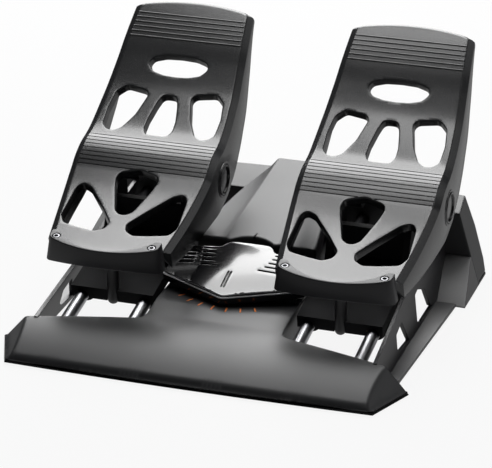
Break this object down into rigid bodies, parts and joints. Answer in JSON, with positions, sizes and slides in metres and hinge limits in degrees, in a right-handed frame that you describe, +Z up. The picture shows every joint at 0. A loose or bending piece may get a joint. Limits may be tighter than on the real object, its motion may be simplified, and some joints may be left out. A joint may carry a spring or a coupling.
{
  "type": "flight rudder pedals",
  "caption": "Flight rudder pedals: foot plates with heel cups and toe brake tilt slide in opposite directions on sloping rails, linked by a pivoting centre rocker under a shield.",
  "frame": {"origin": "floor point under the centre of the bounding box, with both pedals level with each other and the toe brakes released", "axes": "+X to the pilot's right, +Y away from the pilot toward the toes, +Z up"},
  "size_m": [0.3822, 0.3594, 0.2302],
  "materials": {
    "black_plastic": "fine grained, satin",
    "pedal_plastic": "painted satin charcoal with a light sparkle",
    "gloss_black": "gloss",
    "silver_trim": "satin",
    "steel": "ground, polished",
    "dark_steel": "blackened",
    "bronze": "sintered, matt",
    "rubber": "matt",
    "orange_ink": "printed",
    "circuit_board": "satin"
  },
  "bodies": {
    "base": {"front_deck": "black_plastic", "base_pan": "black_plastic", "left_side_frame": "black_plastic", "right_side_frame": "black_plastic", "rear_housing": "black_plastic", "rear_pan": "black_plastic", "spine_cover": "black_plastic", "vent_shroud": "black_plastic", "scale_ticks": "orange_ink", "rail_left_outer": "steel", "rail_left_inner": "steel", "rail_right_inner": "steel", "rail_right_outer": "steel", "front_rail_mounts": "black_plastic", "rear_rail_mounts": "black_plastic", "rocker_axle": "steel", "rocker_washer": "steel", "centring_spring": "steel", "control_board": "circuit_board", "cable_gland": "rubber", "rubber_feet": "rubber", "base_screws": "steel"},
    "rotor": {"rocker_arm": "black_plastic", "rocker_bush": "bronze", "shield_cover": "gloss_black", "shield_trim": "silver_trim", "sensor_magnet": "steel"},
    "left_carriage": {"left_carriage": "black_plastic", "left_rail_bushes": "bronze", "left_pivot_axle": "steel", "left_link_pin": "steel", "left_heel_post": "black_plastic", "left_toe_spring": "steel", "left_toe_stop": "rubber", "left_brake_sensor": "black_plastic"},
    "left_pedal": {"left_foot_plate": "pedal_plastic", "left_heel_cup": "pedal_plastic", "left_heel_screws": "dark_steel", "left_pivot_bushes": "bronze", "left_pivot_caps": "pedal_plastic"},
    "right_carriage": {"right_carriage": "black_plastic", "right_rail_bushes": "bronze", "right_pivot_axle": "steel", "right_link_pin": "steel", "right_heel_post": "black_plastic", "right_toe_spring": "steel", "right_toe_stop": "rubber", "right_brake_sensor": "black_plastic"},
    "right_pedal": {"right_foot_plate": "pedal_plastic", "right_heel_cup": "pedal_plastic", "right_heel_screws": "dark_steel", "right_pivot_bushes": "bronze", "right_pivot_caps": "pedal_plastic"}
  },
  "joints": [
    {"name": "left_slide", "type": "slide", "parent": "base", "child": "left_carriage", "axis": [0, 0.9848, 0.1736], "range_m": [-0.03, 0.03], "stiffness_N_per_m": 250},
    {"name": "right_slide", "type": "slide", "parent": "base", "child": "right_carriage", "axis": [0, 0.9848, 0.1736], "range_m": [-0.03, 0.03]},
    {"name": "rocker_turn", "type": "hinge", "parent": "base", "child": "rotor", "pos_m": [0, -0.00788, 0.03216], "axis": [0, -0.1736, 0.9848], "range_deg": [-23, 23]},
    {"name": "left_toe", "type": "hinge", "parent": "left_carriage", "child": "left_pedal", "pos_m": [-0.1075, 0.05002, 0.1037], "axis": [-1, 0, 0], "range_deg": [0, 12], "stiffness_Nm_per_rad": 12, "springref_deg": -5.73},
    {"name": "right_toe", "type": "hinge", "parent": "right_carriage", "child": "right_pedal", "pos_m": [0.1075, 0.05002, 0.1037], "axis": [-1, 0, 0], "range_deg": [0, 12], "stiffness_Nm_per_rad": 12, "springref_deg": -5.73}
  ],
  "couplings": [
    {"joint": "right_slide", "follows": "left_slide", "ratio": -1},
    {"joint": "rocker_turn", "follows": "left_slide", "rad_per_m": -13.29}
  ]
}
